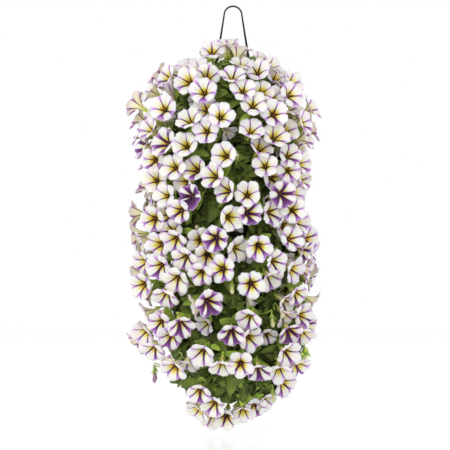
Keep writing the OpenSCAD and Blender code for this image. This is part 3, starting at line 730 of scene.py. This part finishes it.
# The room that a bloom keeps: a funnel behind its face, and a cylinder in front of it
ROOM = ([-BLOOM_L, -20, -10, 0], [3, 5, 12, 26])  # heights and radii of the funnel
TAIL_ROOM, FACE_ROOM = 2.0, 3.0  # beyond the calyx, and in front of the face
CLEAR_H, CLEAR_R = 45.0, 20.0  # the cylinder
BUD_ROOM = 7.0
BUD_MIDDLE = np.concatenate([[b.face - b.n * BUD_L * k for b in buds] for k in (0.2, 0.6)])


def hits_bloom(points, face, facing, size):
    """True if a leaf or a young trumpet cuts a bloom or a bud, or covers a bloom's face."""
    p = points.reshape(-1, 3)[::3]
    d = p[:, None] - face[None]
    high = (d * facing[None]).sum(axis=-1)
    wide = np.linalg.norm(d - high[..., None] * facing[None], axis=-1) / size[None]
    cone = np.interp(high, *ROOM)
    inside = (high > -BLOOM_L - TAIL_ROOM) & (high < FACE_ROOM) & (wide < cone)
    covers = (high >= FACE_ROOM) & (high < CLEAR_H) & (wide < CLEAR_R)
    near = np.linalg.norm(p[:, None] - BUD_MIDDLE[None], axis=-1) < BUD_ROOM
    return (inside | covers).any() or near.any()


def plant_at(p):
    """The plant whose root plug is nearest in height and then on the same side."""
    drop = {k: abs(v[2] - p[2]) for k, v in plugs.items()}
    least = min(drop.values())
    close = [k for k in plugs if drop[k] < least + 1]
    return max(close, key=lambda k: plugs[k][:2] @ np.array(p[:2]))


MOUND_EDGE, FOOT_IN = 12.0, 8.0  # stems leave the mass this far from its ends and this far behind a calyx
ROOT_TOP = 12.0  # from a root plug's middle to where its stems start
MOUTH_DROP, CROWN_DROP = 136.0, 124.0  # where the crown's stems leave the pouch, and their lowest bend
SLIT_OUT = 7.0  # how far stems stand off the film when they leave a slit
BEND_R = 73.0  # radius of the bend after that
BEND_TURN, BEND_DROP = 0.55, 0.6  # its place between slit and flower, around the pouch and down it
CROWN_BEND, CROWN_LEAST = 0.55, 6.0  # radius of the crown's bend, as a share of the foot's, and at least


def stem_route(plant, top, tail):
    """A flower's stem: out of a slit or the pouch's mouth, through the stems and up to its calyx."""
    plug = plugs[plant]
    angle = math.atan2(top[1], top[0])
    foot_drop = np.clip(-top[2], MOUND_TOP + MOUND_EDGE, MOUND_BOTTOM - MOUND_EDGE)
    foot_r = min(float(mound_r(foot_drop)), math.hypot(top[0], top[1]) - FOOT_IN)
    jitter = rng.uniform(-4, 4, 3)
    if plant == "crown":
        start = np.array([0, 0, plug[2] + ROOT_TOP]) + jitter * [1, 1, 0]
        mouth = np.array([jitter[1], jitter[0], -MOUTH_DROP])
        angle_mid = angle
        mid_r, mid_drop = max(CROWN_LEAST, CROWN_BEND * foot_r), min(foot_drop, CROWN_DROP)
    else:
        home = math.atan2(plug[1], plug[0])
        out = np.array([math.cos(home), math.sin(home), 0])
        start = plug + out * ROOT_TOP + jitter * [0.8, 0.8, 1.4]
        mouth = np.array([0, 0, plug[2]]) + out * (FILM_R + SLIT_OUT) + jitter * [1, 1, 2]
        turn = (angle - home + math.pi) % (2 * math.pi) - math.pi
        angle_mid = home + BEND_TURN * turn
        mid_r, mid_drop = BEND_R, mixed(-plug[2], foot_drop, BEND_DROP)
    mid = np.array([mid_r * math.cos(angle_mid), mid_r * math.sin(angle_mid), -mid_drop])
    foot = np.array([foot_r * math.cos(angle), foot_r * math.sin(angle), -foot_drop])
    line = curve([start, mouth, mid, mixed(foot, mid, 0.15), top + (foot - top) * 0.35, tail, top], 18)
    return clear_of_legs(line) if plant == "crown" else line


SEPALS, SEPAL_L, SEPAL_W = 5, (10, 13), 3.6
CALYX_R = 1.2


def add_calyx(work, base, n, tone):
    """Narrow sepals around the base of a flower."""
    x = unit(np.cross(n, ASKEW))
    y = np.cross(n, x)
    turn = rng.uniform(0, FULL_TURN)
    for k in range(SEPALS):
        a = turn + 2 * math.pi * k / SEPALS
        out = math.cos(a) * x + math.sin(a) * y
        along = unit(n * rng.uniform(0.86, 0.95) + out * 0.4)
        facing = unit(out - along * (out @ along))
        length = rng.uniform(*SEPAL_L)
        points = leaf_points(base + out * CALYX_R, along, facing, length, SEPAL_W, -0.1, -0.3, 0.2)
        add_leaf(work, points, tone)


greens = {p: Patchwork() for p in PLANTS}
petals = {p: Patchwork() for p in PLANTS}

SHOOT_ROW, SHOOT_GAP = 23.0, 25.0  # between rows of shoots, and in a row
SHOOT_TOP = 8.0  # of the first row, below the top of the mass of stems
SHOOT_REACH = (12.0, 100.0)  # shortest and longest
SHOOT_IN = 14.0  # how deep in the mass a shoot starts
SHOOT_DROOP = 0.1  # of its reach
YOUNG_REACH, YOUNG_DROP = 180.0, 640.0  # how far out and how low young trumpets stand
YOUNG_GAP, YOUNG_R = 58.0, (12, 21)  # from one to the next, and radius of their faces


def shoot_end(p, out):
    """How far a shoot reaches from p: nearly to the faces of the blooms around it."""
    d = FACE - p
    aside = np.linalg.norm(d - (d @ out)[:, None] * out, axis=1)
    near = np.argsort(aside)[:4]
    return float(np.clip(np.mean((d @ out)[near]) - rng.uniform(0, 18), *SHOOT_REACH))


def plan_shoot(root, out):
    """A shoot from the mass of stems to between the blooms."""
    reach = shoot_end(root, out)
    droop = np.array([0, 0, -SHOOT_DROOP * reach])
    tip = root + out * reach + droop
    line = clear_of_legs(curve([root - out * SHOOT_IN, root + out * reach * 0.5 - droop * 0.3, tip], 7))
    return Item(root=root, out=out, reach=reach, tip=line[-1], line=line, plant=plant_at(root), trumpet=None)


def plan_shoots():
    """Shoots in staggered rows all round the mass of stems."""
    plan = []
    for row, drop in enumerate(np.arange(MOUND_TOP + SHOOT_TOP, MOUND_BOTTOM, SHOOT_ROW)):
        radius = float(mound_r(drop))
        slope = float(mound_r(drop + 2) - mound_r(drop - 2)) / 4
        count = max(3, round(2 * math.pi * radius / SHOOT_GAP))
        for k in range(count):
            a = 2 * math.pi * (k + 0.5 * (row % 2) + rng.uniform(-0.25, 0.25)) / count
            out = unit(np.array([math.cos(a), math.sin(a), slope + rng.uniform(-0.3, 0.15)]))
            root = np.array([radius * math.cos(a), radius * math.sin(a), -drop + rng.uniform(-6, 6)])
            plan.append(plan_shoot(root, out))
    return plan


def young_trumpet(shoot):
    """A young, narrow trumpet at a shoot's tip, or None if there is no room for it."""
    n = unit(shoot.out * rng.uniform(0.0, 0.7) + rng.normal(0, 0.6, 3))
    b = Item(face=shoot.tip + n * BLOOM_L, n=n, lobe=unit(rng.normal(0, 1, 3)), cad_r=0.0)
    set_style(b)
    b.r, b.blush = rng.uniform(*YOUNG_R), rng.uniform(0.2, 0.8)
    points = stand(b, *bloom_face(b)[:2])
    flat = points.reshape(-1, 3)
    crowded = any(np.linalg.norm(b.face - o.face) < YOUNG_GAP for o in young)
    beyond = -b.face[2] > YOUNG_DROP or np.hypot(flat[:, 0], flat[:, 1]).max() > YOUNG_REACH
    if crowded or beyond or meets_leg(flat) or hits_bloom(points, FACE, FACING, np.ones(len(FACE))):
        return None
    return b


young = []
shoots = plan_shoots()
for shoot in shoots:
    shoot.trumpet = young_trumpet(shoot)
    if shoot.trumpet:
        young.append(shoot.trumpet)

# Faces, facings and sizes of all the flowers that leaves keep clear of
TAKEN = (np.array([b.face for b in blooms + young]), np.array([b.n for b in blooms + young]),
         np.array([1.0] * len(blooms) + [b.r / FULL_R for b in young]))

LEAF_TRIES = 8
LEAF_TURN = 2.4  # from one leaf of a stem to the next, about 137 degrees
SHOOT_LEAVES, LEAF_EVERY = 3, 12.0  # leaves of the shortest shoot, and one more for each length
YOUNG_LEAVES = 6  # at a shoot's tip
TONE_LENGTH = 60.0  # leaves get lighter over this length of a shoot
FILM_GAP, FILM_TOP = 4.0, 150.0  # leaves keep this far off the film, below this drop
# Leaves reach no farther out than this at this drop, and less by this slope below it
LOW_DROP, LOW_REACH, LOW_SLOPE = 682.0, 96.0, 0.7
SHADE, SHADE_TONE = (4.0, 42.0), 0.12  # leaves within these distances of the stems are darker, down to this share of their tone: painted shade
STEM_LEAVES = [9, 11, 12, 13]  # points of a flower's stem that may bear a leaf
STALK_TAIL = 7.0  # straight end of a stem, behind the calyx


def try_leaf(work, spot, out, turn, size, tone):
    """A leaf at spot, turned about the way out, if there is room for it."""
    up = np.array([0, 0, 1.0])
    x = unit(np.cross(out, up) + 1e-6)
    y = np.cross(x, out)
    for _ in range(LEAF_TRIES):
        a = turn + rng.uniform(-0.7, 0.7)
        aside = math.cos(a) * x + math.sin(a) * y
        along = aside * rng.uniform(0.7, 1.1) + out * rng.uniform(0.15, 0.75) + up * rng.uniform(-0.35, 0.1)
        along = unit(along)
        facing = out * 0.9 + up * 0.5 + rng.uniform(-0.3, 0.3, 3)
        facing = unit(facing - along * (facing @ along))
        points = leaf_points(spot, along, facing, LEAF_L * size, LEAF_W * size * rng.uniform(0.85, 1.1),
                             rng.uniform(0.02, 0.3), rng.uniform(0.05, 0.4), rng.uniform(0.3, 1.0))
        flat = points.reshape(-1, 3)
        reach = np.hypot(flat[:, 0], flat[:, 1])
        in_film = (reach < FILM_R + FILM_GAP) & (flat[:, 2] < -FILM_TOP)
        below = -flat[:, 2] - LOW_DROP
        strays = (below > 0) & (reach > LOW_REACH - LOW_SLOPE * below)
        if not ((in_film | strays).any() or meets_leg(flat) or hits_bloom(points, *TAKEN)):
            middle = flat.mean(axis=0)
            # Painted shade: a leaf's tone is darker the nearer it lies to the mass of stems
            out_of_shade = smooth(math.hypot(middle[0], middle[1]) - mound_r(-middle[2]), *SHADE)
            add_leaf(work, points, float(np.clip(tone * mixed(SHADE_TONE, 1, out_of_shade), 0, 1)))
            return True
    return False


for i, b in enumerate(blooms):
    add_bloom(b, petals[b.plant], bend_round(i, stand(b, *bloom_face(b)[:2])))
    base = b.face - b.n * BLOOM_L
    tone = rng.uniform(0.65, 1.0)
    route = stem_route(b.plant, base, base - b.n * STALK_TAIL)
    add_calyx(greens[b.plant], base, b.n, tone)
    add_stem(greens[b.plant], route, STEM_R * 0.85, STEM_R, tone)
    turn = rng.uniform(0, FULL_TURN)
    for k, place in enumerate(STEM_LEAVES):
        size = rng.uniform(0.5, 0.95)
        try_leaf(greens[b.plant], route[place], b.n, turn + LEAF_TURN * k, size, rng.uniform(0.2, 0.75))


def add_shoot(shoot):
    """A shoot's leaves and stem, with young leaves and perhaps a young trumpet at its tip."""
    work, out = greens[shoot.plant], shoot.out
    placed = 0
    turn = rng.uniform(0, FULL_TURN)
    count = SHOOT_LEAVES + int(shoot.reach / LEAF_EVERY)
    for k in range(count):
        share = (k + 1) / count
        spot = shoot.line[int(round(share * (len(shoot.line) - 1)))]
        depth = np.clip(np.linalg.norm(spot - shoot.root) / TONE_LENGTH, 0, 1)
        tone = rng.uniform(0.2, 0.6) + 0.2 * depth
        placed += try_leaf(work, spot, out, turn + LEAF_TURN * k, rng.uniform(0.7, 1.15), tone)
    for k in range(YOUNG_LEAVES):
        size = rng.uniform(0.28, 0.52)
        placed += try_leaf(work, shoot.tip, out, turn + LEAF_TURN * k, size, rng.uniform(0.7, 1.0))
    if placed or shoot.trumpet:
        add_stem(work, shoot.line, STEM_R, STEM_R * 0.7, rng.uniform(0.35, 0.7))
    if shoot.trumpet:
        add_bloom(shoot.trumpet, petals[shoot.plant])
        add_calyx(work, shoot.tip, shoot.trumpet.n, rng.uniform(0.6, 0.9))


for shoot in shoots:
    add_shoot(shoot)

for p in PLANTS:
    petals[p].build("petals_" + p, petal, "petal", "blooms_" + p)


# Buds

BUD_COLS, BUD_ROWS = 30, 14
BUD_FORM = ([0, 0.1, 0.35, 0.55, 0.78, 0.92, 1], [1.2, 2.2, 2.0, 2.7, 4.1, 2.6, 0.3])  # share, radius
PLEATS, TWIST, PLEAT_DEPTH = 5, 1.6, 0.3
WILTED_BUD = (-0.6, -100.0)  # the wilted bud hangs steeper than this, farther to the left than this


def add_bud(work, b, wilt):
    """A closed bud with twisted pleats."""
    rows = np.linspace(0, 1, BUD_ROWS)[:, None]
    a = np.arange(BUD_COLS) * 2 * math.pi / BUD_COLS
    radius = np.interp(rows, *BUD_FORM)
    pleat = 0.5 + 0.5 * np.cos(PLEATS * (a + TWIST * rows))
    radius = radius * (1 - PLEAT_DEPTH * smooth(rows, 0.4, 0.7) * (1 - pleat))
    x = unit(np.cross(b.n, ASKEW))
    ring = np.cos(a)[:, None] * x + np.sin(a)[:, None] * np.cross(b.n, x)
    points = b.face + (rows - 1)[..., None] * BUD_L * b.n + radius[..., None] * ring
    marks = np.stack([np.broadcast_to(m, radius.shape) for m in (rows, pleat, np.array([[wilt]]))], -1)
    work.add(points, bud=marks)


bud_work = Patchwork()
for b in buds:
    base = b.face - b.n * BUD_L
    plant = plant_at(base)
    wilted = b.n[2] < WILTED_BUD[0] and b.face[0] < WILTED_BUD[1]
    add_bud(bud_work, b, 1.0 if wilted else rng.uniform(0, 0.2))
    add_calyx(greens[plant], base, b.n, 0.7)
    route = stem_route(plant, base, base - b.n * STALK_TAIL)
    add_stem(greens[plant], route, STEM_R * 0.8, STEM_R, 0.65)
bud_work.build("closed_buds", bud_look, "bud", "buds")

for p in PLANTS:
    greens[p].build("greens_" + p, green, "leaf", "foliage_" + p)


# Film, compost and the parts that stay as the CAD has them

CUT_SHIFT = 0.37  # keeps the turned cuts off the solids' own corners
FILM_CUTS, COMPOST_CUTS = (60, 36), (30, 24)  # level cuts and turned cuts
WALL = (36, 54)  # the film creases fully outside the second radius, not inside the first
GATHER_DROP, GATHER_FADE = 146, 40  # gathers at the mouth, and how far down they fade
COMPOST_TOP = (-176, -171.2)  # heights between which the compost's lumps grow
LUMP = 2.0


def sliced_copy(node, levels, turns):
    """A copy of a CAD node's mesh, cut into small faces by level and by turned planes."""
    work = bmesh.new()
    work.from_mesh(nodes[node].data)
    bmesh.ops.remove_doubles(work, verts=work.verts, dist=1e-6)
    low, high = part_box(node)
    planes = [((0, 0, z), (0, 0, 1)) for z in np.linspace(low[2], high[2], levels + 2)[1:-1]]
    angles = (np.arange(turns) + CUT_SHIFT) * math.pi / turns
    planes += [((0, 0, 0), (math.cos(a), math.sin(a), 0)) for a in angles]
    for place, normal in planes:
        bmesh.ops.bisect_plane(work, geom=work.verts[:] + work.edges[:] + work.faces[:], dist=1e-7,
                               plane_co=place, plane_no=normal)
    mesh = bpy.data.meshes.new(node)
    work.to_mesh(mesh)
    work.free()
    return mesh


def moved_copy(node, levels, turns, move):
    """A sliced copy whose points, in millimetres, are moved by a function."""
    mesh = sliced_copy(node, levels, turns)
    co = np.empty(len(mesh.vertices) * 3)
    mesh.vertices.foreach_get("co", co)
    co = move(co.reshape(-1, 3) / MM) * MM
    mesh.vertices.foreach_set("co", co.ravel())
    mesh.update()
    return mesh


def creased(p):
    """Film bulged by the compost and creased between the eyelets and around the slits."""
    a, drop = np.arctan2(p[:, 1], p[:, 0]), -p[:, 2]
    wall = smooth(np.hypot(p[:, 0], p[:, 1]), *WALL)
    crease = np.sin(9 * a + 0.021 * drop) * np.sin(0.047 * drop + 1.3 * np.sin(3 * a))
    crease = crease + 0.6 * np.sin(17 * a - 0.06 * drop)
    gathers = np.exp(-(drop - GATHER_DROP) / GATHER_FADE) * np.sin(26 * a + 2 * np.sin(2 * a))
    off_peg = ((np.abs(p[:, 0]) - FILM_R) / 12, (drop - PEG_DROP) / 14, p[:, 1] / 12)
    near_peg = np.exp(-off_peg[0] ** 2 - off_peg[1] ** 2 - off_peg[2] ** 2)
    out = wall * (1 - np.minimum(1, 1.3 * near_peg)) * np.maximum(0, 1.0 + 0.9 * crease + 0.8 * gathers)
    return p + out[:, None] * np.stack([np.cos(a), np.sin(a), 0 * a], -1)


def crumbled(p):
    """Compost with a lumpy top."""
    top = smooth(p[:, 2], *COMPOST_TOP)
    lumps = np.sin(0.31 * p[:, 0] + 2 * np.sin(0.23 * p[:, 1])) * np.sin(0.37 * p[:, 1] + 1.7) - 1
    return p + np.stack([0 * top, 0 * top, LUMP * top * lumps], -1)


film_mesh = moved_copy("pouch", *FILM_CUTS, creased)
film_piece = add_piece("film_pouch", film_mesh, film, "pouch_film", "pouch")
compost_mesh = moved_copy("compost", *COMPOST_CUTS, crumbled)
add_piece("compost_fill", compost_mesh, compost_look, "compost", "compost")
film_piece.data.shade_smooth()

looks = {"handle": handle_look, "left_eyelet": eyelet_look, "right_eyelet": eyelet_look}
looks.update({"root_plug_" + p: root_look for p in PLANTS})
for name, look in looks.items():
    nodes[name].data.materials.clear()
    nodes[name].data.materials.append(look)


# Floor, light and camera

FRAME_W = 0.8235  # width of the picture at the handle's plane, in metres
VIEW_X, VIEW_Z = -0.0146, -0.384  # middle of the picture
VIEW_DISTANCE, SENSOR = 6.0, 36.0
FLOOR_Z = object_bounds()[0][2] - 0.003
FLOOR_HALF = 6.0
AMBIENT = 0.70

scene = bpy.context.scene
scene.view_settings.view_transform = "Standard"

world = bpy.data.worlds.new("studio")
world.use_nodes = True
scene.world = world
tree = world.node_tree
ambient = tree.nodes["Background"]
backdrop = tree.nodes.new("ShaderNodeBackground")
for light, strength in ((ambient, AMBIENT), (backdrop, 1.0)):
    light.inputs["Color"].default_value = (1, 1, 1, 1)
    light.inputs["Strength"].default_value = strength

# The world is the white backdrop to the camera and in reflections, and the ambient light otherwise
path = tree.nodes.new("ShaderNodeLightPath").outputs
seen = tree.nodes.new("ShaderNodeMath")
seen.operation = "MAXIMUM"
tree.links.new(path["Is Camera Ray"], seen.inputs[0])
tree.links.new(path["Is Glossy Ray"], seen.inputs[1])
choice = tree.nodes.new("ShaderNodeMixShader")
for place, socket in enumerate((seen.outputs[0], ambient.outputs[0], backdrop.outputs[0])):
    tree.links.new(socket, choice.inputs[place])
tree.links.new(choice.outputs[0], tree.nodes["World Output"].inputs[0])

floor_mesh = bpy.data.meshes.new("floor")
corners = [(x * FLOOR_HALF, y * FLOOR_HALF, FLOOR_Z) for x, y in ((-1, -1), (1, -1), (1, 1), (-1, 1))]
floor_mesh.from_pydata(corners, [], [(0, 1, 2, 3)])
floor = bpy.data.objects.new("floor", floor_mesh)
scene.collection.objects.link(floor)
s = Shader("floor", roughness=1.0, specular=0.0)
s.plug(s.main, Base_Color=(0.12, 0.12, 0.12, 1), Emission_Color=(1, 1, 1, 1), Emission_Strength=0.96)
gloss = s.plug(s.node("ShaderNodeBsdfGlossy"), Roughness=0.08)
polish = s.node("ShaderNodeMixShader", 0.2, s.main.outputs[0], gloss.outputs[0])
s.feed(s.tree.nodes["Material Output"].inputs[0], polish.outputs[0])
floor_mesh.materials.append(s.material)


def area_light(name, place, target, size, power):
    """A round lamp that points at target."""
    data = bpy.data.lights.new(name, "AREA")
    data.shape, data.size, data.energy = "DISK", size, power
    lamp = bpy.data.objects.new(name, data)
    scene.collection.objects.link(lamp)
    lamp.location = place
    way = np.array(target) - np.array(place)
    pitch = math.atan2(math.hypot(way[0], way[1]), -way[2])
    lamp.rotation_euler = (pitch, 0, math.atan2(-way[0], way[1]))


MIDDLE, SIDE_LAMP = (0, 0, -0.4), 1.8
area_light("key", (-0.9, -3.0, 1.2), (0, 0, -0.35), 1.4, 33)
for name, (x, y, z), power in (("front", (2.6, -1.8, 0.2), 20), ("back", (2.2, 2.0, 0.6), 26)):
    area_light(name + "_left", (-x, y, z), MIDDLE, SIDE_LAMP, power)
    area_light(name + "_right", (x, y, z), MIDDLE, SIDE_LAMP, power)

camera = bpy.data.objects.new("camera", bpy.data.cameras.new("camera"))
scene.collection.objects.link(camera)
camera.data.sensor_width = SENSOR
camera.data.lens = SENSOR * VIEW_DISTANCE / FRAME_W
camera.location = (VIEW_X, -VIEW_DISTANCE, VIEW_Z)
camera.rotation_euler = (math.radians(90), 0, 0)
scene.camera = camera
